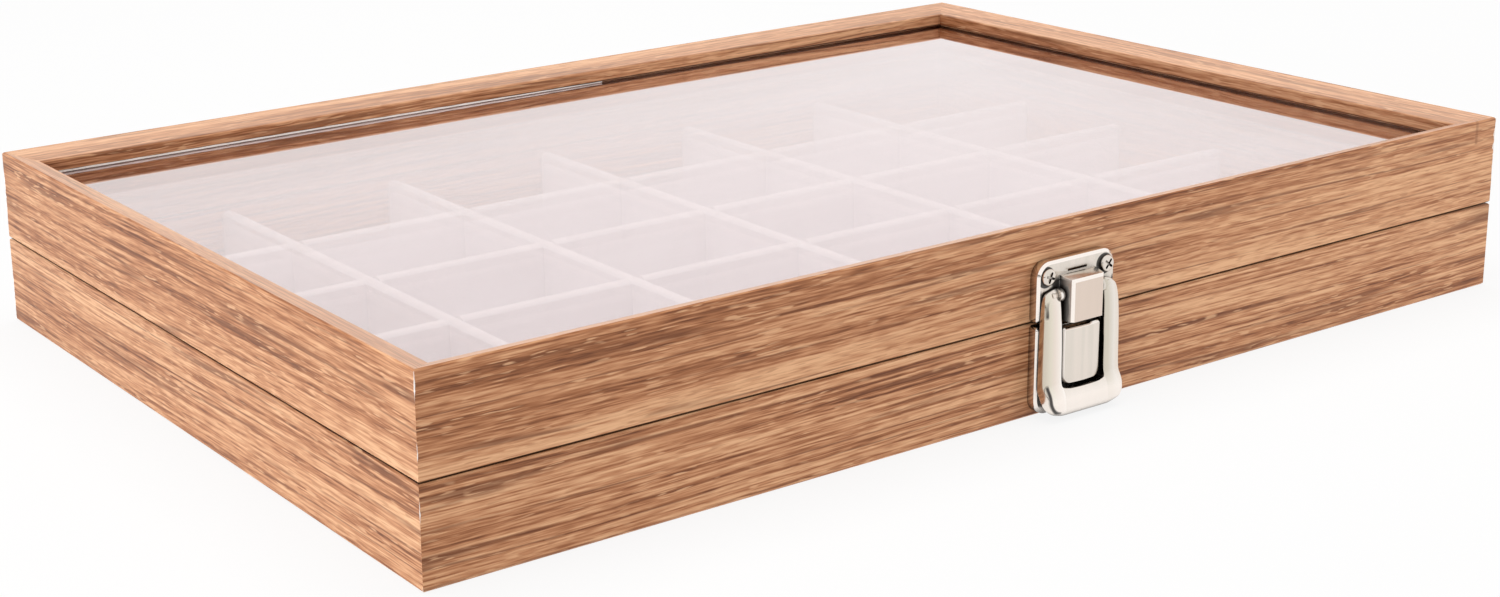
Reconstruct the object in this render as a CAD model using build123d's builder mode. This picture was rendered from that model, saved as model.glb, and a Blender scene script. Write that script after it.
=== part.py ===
from build123d import *
from math import radians, tan
import os

# Mineral specimen box: a wrapped-board case with a glazed lid, a grid of velvet-covered
# dividers slotted into each other, a snap hasp on the front and two butt hinges on the back.
# Millimetres. +X right along the front, +Y towards the back, +Z up.
# The origin is the middle of the underside.

# ---- Case ----
case_length = 350.0         # along the front
case_depth = 230.0          # front to back
base_height = 24.0
lid_height = 24.7
seam_gap = 0.3              # between the closed lid and the base
wall = 8.0                  # board thickness
edge_ease = 0.4             # small bevel along the boards' edges

# ---- Bottom panel ----
panel_thickness = 3.0
panel_rebate = 4.0          # how far the walls are cut back for the panel
panel_clearance = 0.2

# ---- Lining and dividers ----
lining_thickness = 2.0
lining_clearance = 0.3
lining_round = 0.6
columns = 6
rows = 5
divider_thickness = 4.0
divider_crown = 0.9         # rise of the rounded top
divider_drop = 1.0          # tops of the dividers, below the rim of the base
divider_end_gap = 0.2
lap_clearance = 0.1         # each side of a divider in its slot, and between the slots' ends

# ---- Lid frame and glass ----
rim_fall = 2.3              # how far the tops of the rails slope down to their inner edges
glass_drop = 6.6            # from the top of the lid to the glass
glass_thickness = 2.0
glass_clearance = 0.5       # from the edge of the glass to the bottom of its groove
groove_depth = 2.0
groove_gap = 0.6            # open part of the groove, above the glass

# ---- Latch plates ----
latch_offset = 9.1          # middle of the latch, to the right of the case's middle
plate_width = 26.0
plate_proud = 2.0           # how far the pressed plates stand off the wood
plate_sheet = 0.8
plate_ease = 0.7            # pressed front edges
plate_seam_gap = 0.3        # from a plate to the edge of its board at the seam
plate_corner = 4.0          # outer corners
plate_seam_corner = 1.0     # corners at the seam
catch_height = 15.2         # plate on the lid
keeper_foot = 0.9           # from the underside to the plate on the base

# ---- Bill: the raised housing on the lid's plate ----
bill_width = 12.0           # where it leaves the plate
bill_height = 11.4
bill_proud = 5.0            # beyond the plate
bill_draft = 8.0            # degrees, its top and sides
bill_ease = 0.6             # front edges
slit_width = 6.4
slit_height = 0.6
slit_gap = 0.4              # between the bill and the slit above it

# ---- Tab: the raised boss on the base's plate ----
tab_width = 12.0
tab_drop = 0.8              # from the plate's seam edge down to the tab
tab_gap = 0.9               # from the bottom of the hasp's window to the tab
tab_proud = 3.1             # beyond the plate, at the tab's sides
tab_crown = 0.7             # more in its middle
tab_corner = 2.6            # lower corners
tab_seam_corner = 0.8
tab_ease = 0.5              # front edges

# ---- Hasp: the U-shaped frame that snaps over the tab ----
hasp_width = 26.0
hasp_corner = 4.0
hasp_shoulder = 0.5         # from the top of the hasp to the top of its corners' arcs
leg_depth = 3.4
leg_clearance = 0.2         # from the legs to the plates
window_width = 14.4
window_corner = 1.5
leg_round = 1.3             # outer front edges of the legs
bar_round = 1.6             # front edges at the ends of the bar
window_bevel = 0.5          # front edge of the window
pivot_height = 6.8          # above the lower edge of the lid's plate
hasp_foot = 1.1             # lowest edge of the hasp above the underside
bar_height = 6.4            # bottom bar, below the window
flare_height = 7.6          # the hasp leans out below this height above its foot
bar_flare = 2.4             # how far the bar leans out for a fingertip
bar_thickness = 2.1         # at its lower edge
foot_round = 0.9
knuckle_gap = 0.3           # from the legs' knuckles to the bill
snap_rise = 1.6             # from the bottom of the window to the snap ridges
snap_length = 3.0
snap_proud = 0.6            # ridges beyond the legs' inner faces
snap_width = 1.6
snap_slope = 35.0           # degrees, sides of the ridges
pin_radius = 0.8
pin_clearance = 0.05        # running, on the radius
pin_reach = 3.4             # into each leg
pin_end_gap = 0.3

# ---- Screws of the latch ----
screw_shank = 1.1           # radius
screw_head = 2.15           # radius
screw_head_height = 0.9
screw_turn = 35.0           # degrees, from the cross of one screw to the next
recess_length = 2.6
recess_width = 0.55
recess_depth = 0.6
hole_clearance = 0.15
screw_cover = 1.5           # wood left beyond a screw's tip
catch_screw_spread = 19.6
catch_screw_drop = 3.7      # below the top of the lid's plate
keeper_screw_spread = 17.0
keeper_screw_gap = 0.5      # from these screws to the bottom panel's level

# ---- Hinges ----
hinge_spread = 210.0        # between the two hinges' middles
leaf_width = 25.0
leaf_height = 9.0           # from the axis to the leaf's far edge
leaf_thickness = 0.8
leaf_corner = 1.0
barrel_radius = 1.6
barrel_clearance = 0.2      # barrel to the back of the case, and between knuckles
leaf_clearance = 0.3        # a leaf's shoulder to the other leaf's knuckles
hinge_pin_radius = 0.7
hinge_screw_spread = 15.0
hinge_screw_rise = 5.6      # from the axis
hinge_screw_shank = 0.8
hinge_screw_head = 1.5
hinge_screw_head_height = 0.5
hinge_recess_length = 1.8
hinge_recess_width = 0.4
hinge_recess_depth = 0.4

# ---- Worked out from the sizes above ----
lid_bottom = base_height + seam_gap
lid_top = lid_bottom + lid_height
inner_length = case_length - 2 * wall
inner_depth = case_depth - 2 * wall
lining_top = panel_thickness + lining_thickness
divider_top = base_height - divider_drop
divider_height = divider_top - lining_top
column_pitch = inner_length / columns
row_pitch = inner_depth / rows
glass_top = lid_top - glass_drop
glass_reach = groove_depth - glass_clearance

catch_bottom = lid_bottom + plate_seam_gap
catch_top = catch_bottom + catch_height
keeper_top = base_height - plate_seam_gap
keeper_height = keeper_top - keeper_foot
keeper_screw_up = panel_thickness + keeper_screw_gap + screw_shank
bill_top = catch_bottom + bill_height
leg_back = plate_proud + leg_clearance
leg_front = leg_back + leg_depth
pivot_out = leg_back + leg_depth / 2
pivot_up = catch_bottom + pivot_height
hasp_top = pivot_up + leg_depth / 2
window_bottom = hasp_foot + bar_height
tab_top = keeper_top - tab_drop
tab_bottom = window_bottom + tab_gap
tab_height = tab_top - tab_bottom
flare_top = hasp_foot + flare_height
hinge_axis_out = barrel_radius + barrel_clearance
hinge_axis_up = base_height + seam_gap / 2
pilot_depth = wall - screw_cover

# The latch's plane lies on the front of the case, with its normal outwards and its Y up.
latch_plane = Plane(
    origin=(latch_offset, -case_depth / 2, 0), x_dir=(1, 0, 0), z_dir=(0, -1, 0)
)
# A side view of the latch: X outwards from the front of the case, Y up, normal to the left.
latch_side = Plane(
    origin=(latch_offset, -case_depth / 2, 0), x_dir=(0, -1, 0), z_dir=(-1, 0, 0)
)

os.makedirs("parts", exist_ok=True)

# ---- Where the fasteners go: planes on the surface that each head sits on ----
catch_screw_seats = [
    latch_plane.offset(plate_proud).moved(
        Location((side * catch_screw_spread / 2, catch_top - catch_screw_drop, 0))
    )
    for side in (-1, 1)
]
keeper_screw_seats = [
    latch_plane.offset(plate_proud).moved(
        Location((side * keeper_screw_spread / 2, keeper_screw_up, 0))
    )
    for side in (-1, 1)
]


def hinge_plane(side, direction):
    """A hinge's plane on the back of the case, at its axis: normal outwards, Y along a leaf.

    side is -1 on the left and 1 on the right; direction is 1 for the lid and -1 for the base.
    """
    return Plane(
        origin=(side * hinge_spread / 2, case_depth / 2, hinge_axis_up),
        x_dir=(-direction, 0, 0),
        z_dir=(0, 1, 0),
    )


def hinge_screw_seats(direction):
    """Seats of the screws on both hinges' leaves, on the lid (1) or the base (-1)."""
    return [
        hinge_plane(side, direction)
        .offset(leaf_thickness)
        .moved(Location((across * hinge_screw_spread / 2, hinge_screw_rise, 0)))
        for side in (-1, 1)
        for across in (-1, 1)
    ]


def board_frame(outward, z):
    """A board's section plane: origin on its outer face, X into the case, Y up."""
    inward = -Vector(*outward)
    half = case_depth / 2 if outward[0] == 0 else case_length / 2
    origin = Vector(*outward) * half + Vector(0, 0, z)
    return Plane(origin=origin, x_dir=inward, z_dir=inward.cross(Vector(0, 0, 1)))


def mitre_planes(section, run):
    """The two slanting planes that end a board of this run, normals outwards."""
    return [
        Plane(
            origin=section.origin + section.z_dir * (end * run / 2),
            z_dir=section.z_dir * end + section.x_dir,
        )
        for end in (-1, 1)
    ]


# The four sides: name, outward direction, length along the outer face.
sides = [
    ("front", (0, -1, 0), case_length),
    ("back", (0, 1, 0), case_length),
    ("left", (-1, 0, 0), case_depth),
    ("right", (1, 0, 0), case_depth),
]

# ---- Base walls: mitred boards, rebated below for the bottom panel ----
for name, outward, run in sides:
    section = board_frame(outward, 0)
    with BuildPart() as base_wall:
        with BuildSketch(section) as wall_section:
            Rectangle(wall, base_height, align=(Align.MIN, Align.MIN))
            chamfer(wall_section.vertices(), edge_ease)
            with Locations((wall, 0)):
                Rectangle(
                    panel_rebate,
                    panel_thickness,
                    align=(Align.MAX, Align.MIN),
                    mode=Mode.SUBTRACT,
                )
        extrude(amount=run / 2, both=True)
        for mitre in mitre_planes(section, run):
            split(bisect_by=mitre, keep=Keep.BOTTOM)
        if name == "front":
            for seat in keeper_screw_seats:
                with BuildSketch(seat.offset(-plate_proud)):
                    Circle(screw_shank)
                extrude(amount=-pilot_depth, mode=Mode.SUBTRACT)
        if name == "back":
            for seat in hinge_screw_seats(-1):
                with BuildSketch(seat.offset(-leaf_thickness)):
                    Circle(hinge_screw_shank)
                extrude(amount=-pilot_depth, mode=Mode.SUBTRACT)
    base_wall.part.label = f"base_{name}_wall"
    export_step(base_wall.part, f"parts/base_{name}_wall.step")

# ---- Bottom panel, flush with the underside ----
with BuildPart() as bottom_panel:
    with BuildSketch(Plane.XY):
        Rectangle(
            inner_length + 2 * (panel_rebate - panel_clearance),
            inner_depth + 2 * (panel_rebate - panel_clearance),
        )
    extrude(amount=panel_thickness)
bottom_panel.part.label = "bottom_panel"
export_step(bottom_panel.part, "parts/bottom_panel.step")

# ---- Floor lining: velvet-covered card on the bottom panel ----
with BuildPart() as floor_lining:
    with BuildSketch(Plane.XY.offset(panel_thickness)):
        Rectangle(inner_length - 2 * lining_clearance, inner_depth - 2 * lining_clearance)
    extrude(amount=lining_thickness)
    fillet(floor_lining.faces().sort_by(Axis.Z)[-1].edges(), lining_round)
floor_lining.part.label = "floor_lining"
export_step(floor_lining.part, "parts/floor_lining.step")


def divider_blank(plane, run):
    """A straight divider with a crowned top: plane is its section plane at mid length."""
    with BuildPart() as blank:
        with BuildSketch(plane):
            with BuildLine():
                ThreePointArc(
                    (divider_thickness / 2, divider_top - divider_crown),
                    (0, divider_top),
                    (-divider_thickness / 2, divider_top - divider_crown),
                )
                Polyline(
                    (-divider_thickness / 2, divider_top - divider_crown),
                    (-divider_thickness / 2, lining_top),
                    (divider_thickness / 2, lining_top),
                    (divider_thickness / 2, divider_top - divider_crown),
                )
            make_face()
        extrude(amount=run / 2, both=True)
    return blank.part


# ---- Long dividers, slotted from above where the short ones cross ----
column_lines = [column_pitch * (i - (columns - 2) / 2) for i in range(columns - 1)]
row_lines = [row_pitch * (i - (rows - 2) / 2) for i in range(rows - 1)]
slot_width = divider_thickness + 2 * lap_clearance
slot_height = divider_height / 2 + lap_clearance / 2

for number, y in enumerate(row_lines, start=1):
    section = Plane(origin=(0, y, 0), x_dir=(0, 1, 0), z_dir=(1, 0, 0))
    with BuildPart() as long_divider:
        add(divider_blank(section, inner_length - 2 * divider_end_gap))
        with Locations([(x, y, divider_top) for x in column_lines]):
            Box(
                slot_width,
                2 * divider_thickness,
                slot_height,
                align=(Align.CENTER, Align.CENTER, Align.MAX),
                mode=Mode.SUBTRACT,
            )
    long_divider.part.label = f"long_divider_{number}"
    export_step(long_divider.part, f"parts/long_divider_{number}.step")

# ---- Short dividers, slotted from below ----
for number, x in enumerate(column_lines, start=1):
    section = Plane(origin=(x, 0, 0), x_dir=(1, 0, 0), z_dir=(0, -1, 0))
    with BuildPart() as short_divider:
        add(divider_blank(section, inner_depth - 2 * divider_end_gap))
        with Locations([(x, y, lining_top) for y in row_lines]):
            Box(
                2 * divider_thickness,
                slot_width,
                slot_height,
                align=(Align.CENTER, Align.CENTER, Align.MIN),
                mode=Mode.SUBTRACT,
            )
    short_divider.part.label = f"short_divider_{number}"
    export_step(short_divider.part, f"parts/short_divider_{number}.step")

# ---- Lid rails: mitred, with sloping tops and a groove for the glass ----
for name, outward, run in sides:
    section = board_frame(outward, lid_bottom)
    with BuildPart() as lid_rail:
        with BuildSketch(section) as rail_section:
            Polygon(
                [
                    (0, 0),
                    (wall, 0),
                    (wall, lid_height - rim_fall),
                    (edge_ease, lid_height),
                    (0, lid_height - edge_ease),
                ],
                align=None,
            )
            chamfer(rail_section.vertices().sort_by(Axis.Y)[:3], edge_ease)
            with Locations((wall, lid_height - glass_drop + groove_gap)):
                Rectangle(
                    groove_depth,
                    glass_thickness + groove_gap,
                    align=(Align.MAX, Align.MAX),
                    mode=Mode.SUBTRACT,
                )
        extrude(amount=run / 2, both=True)
        for mitre in mitre_planes(section, run):
            split(bisect_by=mitre, keep=Keep.BOTTOM)
        if name == "front":
            for seat in catch_screw_seats:
                with BuildSketch(seat.offset(-plate_proud)):
                    Circle(screw_shank)
                extrude(amount=-pilot_depth, mode=Mode.SUBTRACT)
        if name == "back":
            for seat in hinge_screw_seats(1):
                with BuildSketch(seat.offset(-leaf_thickness)):
                    Circle(hinge_screw_shank)
                extrude(amount=-pilot_depth, mode=Mode.SUBTRACT)
    lid_rail.part.label = f"lid_{name}_rail"
    export_step(lid_rail.part, f"parts/lid_{name}_rail.step")

# ---- Glass, seated in the rails' grooves ----
with BuildPart() as glass_pane:
    with BuildSketch(Plane.XY.offset(glass_top - glass_thickness)):
        Rectangle(inner_length + 2 * glass_reach, inner_depth + 2 * glass_reach)
    extrude(amount=glass_thickness)
glass_pane.part.label = "glass_pane"
export_step(glass_pane.part, "parts/glass_pane.step")

# ---- Catch plate: a pressed plate with the bill that carries the hasp's pin ----
latch_plan = Plane(origin=(latch_offset, -case_depth / 2, 0), z_dir=(0, 0, 1))


def bill_block(sheet):
    """The bill's space as far in as a sheet's thickness: drafted on its top and sides, open below."""
    reach = plate_proud + bill_proud - sheet
    slope = tan(radians(bill_draft))
    half_root = bill_width / 2 - sheet + plate_proud * slope
    half_front = half_root - reach * slope
    top = bill_top - sheet + plate_proud * slope
    with BuildPart() as block:
        with BuildSketch(latch_plan.offset(catch_bottom)):
            Polygon(
                [(-half_root, 0), (-half_front, -reach), (half_front, -reach), (half_root, 0)],
                align=None,
            )
        extrude(amount=bill_height + bill_proud)
        with BuildSketch(latch_side.offset(-bill_width)):
            Polygon(
                [(0, 0), (reach, 0), (reach, top - reach * slope), (0, top)],
                align=None,
            )
        extrude(amount=2 * bill_width, mode=Mode.INTERSECT)
    return block.part


with BuildPart() as bill:
    add(bill_block(0))
    bill_front = bill.faces().sort_by(Axis.Y)[0]
    chamfer(bill_front.edges().sort_by(Axis.Z)[1:], bill_ease)

with BuildPart() as catch_plate:
    with BuildSketch(latch_plane) as catch_outline:
        with Locations((0, catch_bottom)):
            Rectangle(plate_width, catch_height, align=(Align.CENTER, Align.MIN))
        fillet(catch_outline.vertices().group_by(Axis.Y)[-1], plate_corner)
        fillet(catch_outline.vertices().group_by(Axis.Y)[0], plate_seam_corner)
    extrude(amount=plate_proud)
    chamfer(catch_plate.faces().sort_by(Axis.Y)[0].edges(), plate_ease)
    add(bill.part)
    # hollow of the plate, behind its sheet
    with BuildSketch(latch_plane) as catch_hollow:
        with Locations((0, catch_bottom + plate_sheet)):
            Rectangle(
                plate_width - 2 * plate_sheet,
                catch_height - 2 * plate_sheet,
                align=(Align.CENTER, Align.MIN),
            )
        fillet(catch_hollow.vertices().group_by(Axis.Y)[-1], plate_corner - plate_sheet)
    extrude(amount=plate_proud - plate_sheet, mode=Mode.SUBTRACT)
    add(bill_block(plate_sheet), mode=Mode.SUBTRACT)
    with BuildSketch(latch_plane):
        with Locations((0, bill_top + slit_gap)):
            Rectangle(slit_width, slit_height, align=(Align.CENTER, Align.MIN))
    extrude(amount=plate_proud, mode=Mode.SUBTRACT)
    for seat in catch_screw_seats:
        with BuildSketch(seat):
            Circle(screw_shank + hole_clearance)
        extrude(amount=-plate_proud, mode=Mode.SUBTRACT)
    with BuildSketch(latch_side):
        with Locations((pivot_out, pivot_up)):
            Circle(pin_radius)
    extrude(amount=bill_width, both=True, mode=Mode.SUBTRACT)
catch_plate.part.label = "catch_plate"
export_step(catch_plate.part, "parts/catch_plate.step")

# ---- Keeper plate: a pressed plate with the tab that the hasp snaps over ----
tab_side_out = plate_proud + tab_proud

with BuildPart() as keeper_plate:
    with BuildSketch(latch_plan.offset(tab_bottom)):
        with BuildLine():
            ThreePointArc(
                (-tab_width / 2, -tab_side_out),
                (0, -tab_side_out - tab_crown),
                (tab_width / 2, -tab_side_out),
            )
            Polyline(
                (tab_width / 2, -tab_side_out),
                (tab_width / 2, 0),
                (-tab_width / 2, 0),
                (-tab_width / 2, -tab_side_out),
            )
        make_face()
    extrude(amount=tab_height)
    with BuildSketch(latch_plane) as tab_outline:
        with Locations((0, tab_bottom)):
            Rectangle(tab_width, tab_height, align=(Align.CENTER, Align.MIN))
        fillet(tab_outline.vertices().group_by(Axis.Y)[0], tab_corner)
        fillet(tab_outline.vertices().group_by(Axis.Y)[-1], tab_seam_corner)
    extrude(amount=tab_side_out + 2 * tab_crown, mode=Mode.INTERSECT)
    chamfer(keeper_plate.faces().sort_by(Axis.Y)[0].edges(), tab_ease)
    with BuildSketch(latch_plane) as keeper_outline:
        with Locations((0, keeper_foot)):
            Rectangle(plate_width, keeper_height, align=(Align.CENTER, Align.MIN))
        fillet(keeper_outline.vertices().group_by(Axis.Y)[0], plate_corner)
        fillet(keeper_outline.vertices().group_by(Axis.Y)[-1], plate_seam_corner)
    extrude(amount=plate_proud)
    plate_face = keeper_plate.faces().filter_by(Axis.Y).group_by(Axis.Y)[0][0]
    chamfer(plate_face.outer_wire().edges(), plate_ease)
    # hollow of the plate and of the tab, behind the sheet
    with BuildSketch(latch_plane) as keeper_hollow:
        with Locations((0, keeper_foot + plate_sheet)):
            Rectangle(
                plate_width - 2 * plate_sheet,
                keeper_height - 2 * plate_sheet,
                align=(Align.CENTER, Align.MIN),
            )
        fillet(keeper_hollow.vertices().group_by(Axis.Y)[0], plate_corner - plate_sheet)
    extrude(amount=plate_proud - plate_sheet, mode=Mode.SUBTRACT)
    with BuildSketch(latch_plane) as tab_hollow:
        with Locations((0, tab_bottom + plate_sheet)):
            Rectangle(
                tab_width - 2 * plate_sheet,
                tab_height - 2 * plate_sheet,
                align=(Align.CENTER, Align.MIN),
            )
        fillet(tab_hollow.vertices().group_by(Axis.Y)[0], tab_corner - plate_sheet)
    extrude(amount=tab_side_out - plate_sheet, mode=Mode.SUBTRACT)
    for seat in keeper_screw_seats:
        with BuildSketch(seat):
            Circle(screw_shank + hole_clearance)
        extrude(amount=-plate_proud, mode=Mode.SUBTRACT)
keeper_plate.part.label = "keeper_plate"
export_step(keeper_plate.part, "parts/keeper_plate.step")

# ---- Hasp's legs: common to their plan, side view and front view ----
hasp_side = latch_side.offset(-hasp_width / 2)

with BuildPart() as hasp_legs:
    with BuildSketch(latch_plan.offset(flare_top)) as leg_plan:
        with Locations((0, -leg_front)):
            Rectangle(hasp_width, leg_depth, align=(Align.CENTER, Align.MIN))
        fillet(leg_plan.vertices().group_by(Axis.Y)[0], leg_round)
    extrude(amount=hasp_top - flare_top)
    with BuildSketch(hasp_side):
        with BuildLine():
            ThreePointArc((leg_front, pivot_up), (pivot_out, hasp_top), (leg_back, pivot_up))
            Polyline(
                (leg_back, pivot_up),
                (leg_back, flare_top),
                (leg_front, flare_top),
                (leg_front, pivot_up),
            )
        make_face()
    extrude(amount=hasp_width, mode=Mode.INTERSECT)
    with BuildSketch(latch_plane) as leg_outline:
        with Locations((0, flare_top)):
            Rectangle(
                hasp_width,
                hasp_top + hasp_shoulder - flare_top,
                align=(Align.CENTER, Align.MIN),
            )
        fillet(leg_outline.vertices().group_by(Axis.Y)[-1], hasp_corner)
    extrude(amount=leg_front, mode=Mode.INTERSECT)

# ---- Hasp: the flared bar made the same way, the legs, and the window between them ----
bar_front = leg_front + bar_flare
with BuildPart() as hasp:
    with BuildSketch(hasp_side) as bar_section:
        with BuildLine():
            Polyline(
                (leg_back, flare_top),
                (bar_front - bar_thickness, hasp_foot),
                (bar_front, hasp_foot),
                (leg_front, flare_top),
                (leg_back, flare_top),
            )
        make_face()
        fillet(bar_section.vertices().group_by(Axis.Y)[0], foot_round)
    extrude(amount=hasp_width)
    with BuildSketch(latch_plan) as bar_plan:
        with Locations((0, -bar_front)):
            Rectangle(hasp_width, bar_front, align=(Align.CENTER, Align.MIN))
        fillet(bar_plan.vertices().group_by(Axis.Y)[0], bar_round)
    extrude(amount=flare_top, mode=Mode.INTERSECT)
    with BuildSketch(latch_plane) as bar_outline:
        with Locations((0, hasp_foot)):
            Rectangle(hasp_width, flare_top - hasp_foot, align=(Align.CENTER, Align.MIN))
        fillet(bar_outline.vertices().group_by(Axis.Y)[0], hasp_corner)
    extrude(amount=bar_front, mode=Mode.INTERSECT)
    add(hasp_legs.part)
    with BuildSketch(latch_plane) as window_outline:
        with Locations((0, window_bottom)):
            Rectangle(window_width, hasp_top, align=(Align.CENTER, Align.MIN))
        fillet(window_outline.vertices().group_by(Axis.Y)[0], window_corner)
    extrude(amount=bar_front, mode=Mode.SUBTRACT)
    with BuildSketch(latch_plane.offset(leg_front + window_bevel)) as bevel_outline:
        with Locations((0, window_bottom - 2 * window_bevel)):
            Rectangle(
                window_width + 4 * window_bevel, hasp_top, align=(Align.CENTER, Align.MIN)
            )
        fillet(bevel_outline.vertices().group_by(Axis.Y)[0], window_corner + 2 * window_bevel)
    extrude(amount=-2 * window_bevel, taper=45, mode=Mode.SUBTRACT)
    # knuckles that reach in beside the bill, and the snap ridges low in the window
    for side in (-1, 1):
        with BuildSketch(latch_side.offset(side * (bill_width / 2 + knuckle_gap))):
            with Locations((pivot_out, pivot_up)):
                Circle(leg_depth / 2)
        extrude(amount=side * (window_width - bill_width) / 2)
        with BuildSketch(latch_side.offset(side * window_width / 2)):
            with Locations((pivot_out, window_bottom + snap_rise + snap_length / 2)):
                Rectangle(snap_width, snap_length)
        extrude(amount=-side * snap_proud, taper=snap_slope)
    # blind bores for the pin
    for side in (-1, 1):
        with BuildSketch(latch_side.offset(side * (bill_width / 2 + knuckle_gap))):
            with Locations((pivot_out, pivot_up)):
                Circle(pin_radius + pin_clearance)
        extrude(amount=side * (pin_reach + pin_end_gap), mode=Mode.SUBTRACT)
hasp.part.label = "hasp"
export_step(hasp.part, "parts/hasp.step")

# ---- Hasp pin, held in the bill's sides ----
with BuildPart() as hasp_pin:
    with BuildSketch(latch_side):
        with Locations((pivot_out, pivot_up)):
            Circle(pin_radius)
    extrude(amount=bill_width / 2 + knuckle_gap + pin_reach, both=True)
hasp_pin.part.label = "hasp_pin"
export_step(hasp_pin.part, "parts/hasp_pin.step")


def screw_set(seats, head, head_height, shank, length, recess):
    """Cross-recess screws, one on each seat, whose normal points out of the wood.

    head and shank are radii; recess is the cross's length, width and depth.
    """
    recess_long, recess_wide, recess_deep = recess
    with BuildPart() as screws:
        for number, seat in enumerate(seats):
            with BuildSketch(seat):
                Circle(head)
            extrude(amount=head_height)
            with BuildSketch(seat):
                Circle(shank)
            extrude(amount=-length)
            with BuildSketch(seat.offset(head_height)):
                for turn in (0, 90):
                    Rectangle(recess_long, recess_wide, rotation=turn + screw_turn * number)
            extrude(amount=-recess_deep, mode=Mode.SUBTRACT)
    return screws.part


# ---- Screws: latch plates ----
latch_recess = (recess_length, recess_width, recess_depth)
latch_screw_length = plate_proud + pilot_depth
for name, seats in (("catch", catch_screw_seats), ("keeper", keeper_screw_seats)):
    with BuildPart() as latch_screws:
        add(
            screw_set(
                seats,
                screw_head,
                screw_head_height,
                screw_shank,
                latch_screw_length,
                latch_recess,
            )
        )
    latch_screws.part.label = f"{name}_screws"
    export_step(latch_screws.part, f"parts/{name}_screws.step")

# ---- Screws: hinges ----
hinge_recess = (hinge_recess_length, hinge_recess_width, hinge_recess_depth)
hinge_screw_length = leaf_thickness + pilot_depth
for name, direction in (("lid", 1), ("base", -1)):
    with BuildPart() as hinge_screws:
        add(
            screw_set(
                hinge_screw_seats(direction),
                hinge_screw_head,
                hinge_screw_head_height,
                hinge_screw_shank,
                hinge_screw_length,
                hinge_recess,
            )
        )
    hinge_screws.part.label = f"{name}_hinge_screws"
    export_step(hinge_screws.part, f"parts/{name}_hinge_screws.step")

# ---- Hinges: two leaves and a pin on each side ----
knuckle_length = (leaf_width - 2 * barrel_clearance) / 3
outer_knuckle = knuckle_length + barrel_clearance
shoulder = barrel_radius + leaf_clearance

# One leaf: its body, direction, the middles of its knuckles and the radius of its bore.
leaves = [
    ("lid", 1, [0], hinge_pin_radius + pin_clearance),
    ("base", -1, [-outer_knuckle, outer_knuckle], hinge_pin_radius),
]
for hand, side in (("left", -1), ("right", 1)):
    for name, direction, knuckle_middles, bore in leaves:
        face = hinge_plane(side, direction)
        end_view = Plane(origin=face.origin, x_dir=face.z_dir, z_dir=-face.x_dir)
        with BuildPart() as hinge_leaf:
            with BuildSketch(face) as leaf_outline:
                with Locations((0, shoulder)):
                    Rectangle(
                        leaf_width, leaf_height - shoulder, align=(Align.CENTER, Align.MIN)
                    )
                fillet(leaf_outline.vertices().group_by(Axis.Y)[-1], leaf_corner)
            extrude(amount=leaf_thickness)
            for middle in knuckle_middles:
                with BuildSketch(end_view.offset(middle)):
                    Rectangle(leaf_thickness, shoulder, align=(Align.MIN, Align.MIN))
                    with Locations((hinge_axis_out, 0)):
                        Circle(barrel_radius)
                extrude(amount=knuckle_length / 2, both=True)
            with BuildSketch(end_view):
                with Locations((hinge_axis_out, 0)):
                    Circle(bore)
            extrude(amount=leaf_width, both=True, mode=Mode.SUBTRACT)
            for seat in hinge_screw_seats(direction):
                with BuildSketch(seat):
                    Circle(hinge_screw_shank + hole_clearance)
                extrude(amount=-leaf_thickness, mode=Mode.SUBTRACT)
        hinge_leaf.part.label = f"{hand}_hinge_{name}_leaf"
        export_step(hinge_leaf.part, f"parts/{hand}_hinge_{name}_leaf.step")

    with BuildPart() as hinge_pin:
        with BuildSketch(end_view):
            with Locations((hinge_axis_out, 0)):
                Circle(hinge_pin_radius)
        extrude(amount=leaf_width / 2, both=True)
    hinge_pin.part.label = f"{hand}_hinge_pin"
    export_step(hinge_pin.part, f"parts/{hand}_hinge_pin.step")
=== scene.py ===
"""Looks of a mineral specimen box: wood-grain wrap, white flock, glass and polished nickel."""

import math

import bmesh
import bpy
from bpy.props import FloatProperty, FloatVectorProperty, PointerProperty
from bpy.types import Operator, Panel, PropertyGroup
from mathutils import Matrix, Vector


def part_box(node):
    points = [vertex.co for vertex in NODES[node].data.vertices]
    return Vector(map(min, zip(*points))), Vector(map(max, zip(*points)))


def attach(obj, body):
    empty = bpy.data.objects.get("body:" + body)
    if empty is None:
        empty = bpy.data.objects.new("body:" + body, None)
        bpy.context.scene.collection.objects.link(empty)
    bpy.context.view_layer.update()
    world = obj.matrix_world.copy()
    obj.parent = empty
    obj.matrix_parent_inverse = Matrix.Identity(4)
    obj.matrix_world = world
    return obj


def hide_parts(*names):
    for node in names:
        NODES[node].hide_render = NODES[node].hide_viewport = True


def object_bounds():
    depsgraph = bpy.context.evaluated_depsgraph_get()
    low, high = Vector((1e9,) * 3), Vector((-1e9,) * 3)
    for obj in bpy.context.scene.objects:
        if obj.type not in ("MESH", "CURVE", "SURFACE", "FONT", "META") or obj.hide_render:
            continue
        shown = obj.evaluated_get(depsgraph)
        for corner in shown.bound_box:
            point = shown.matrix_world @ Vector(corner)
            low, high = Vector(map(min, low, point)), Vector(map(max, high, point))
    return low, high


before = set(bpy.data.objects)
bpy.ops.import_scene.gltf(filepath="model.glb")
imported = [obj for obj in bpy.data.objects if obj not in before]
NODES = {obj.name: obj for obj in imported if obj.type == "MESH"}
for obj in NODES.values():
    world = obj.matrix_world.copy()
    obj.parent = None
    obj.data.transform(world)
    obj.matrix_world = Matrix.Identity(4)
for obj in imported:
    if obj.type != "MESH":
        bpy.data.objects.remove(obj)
CAD_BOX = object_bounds()

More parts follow.
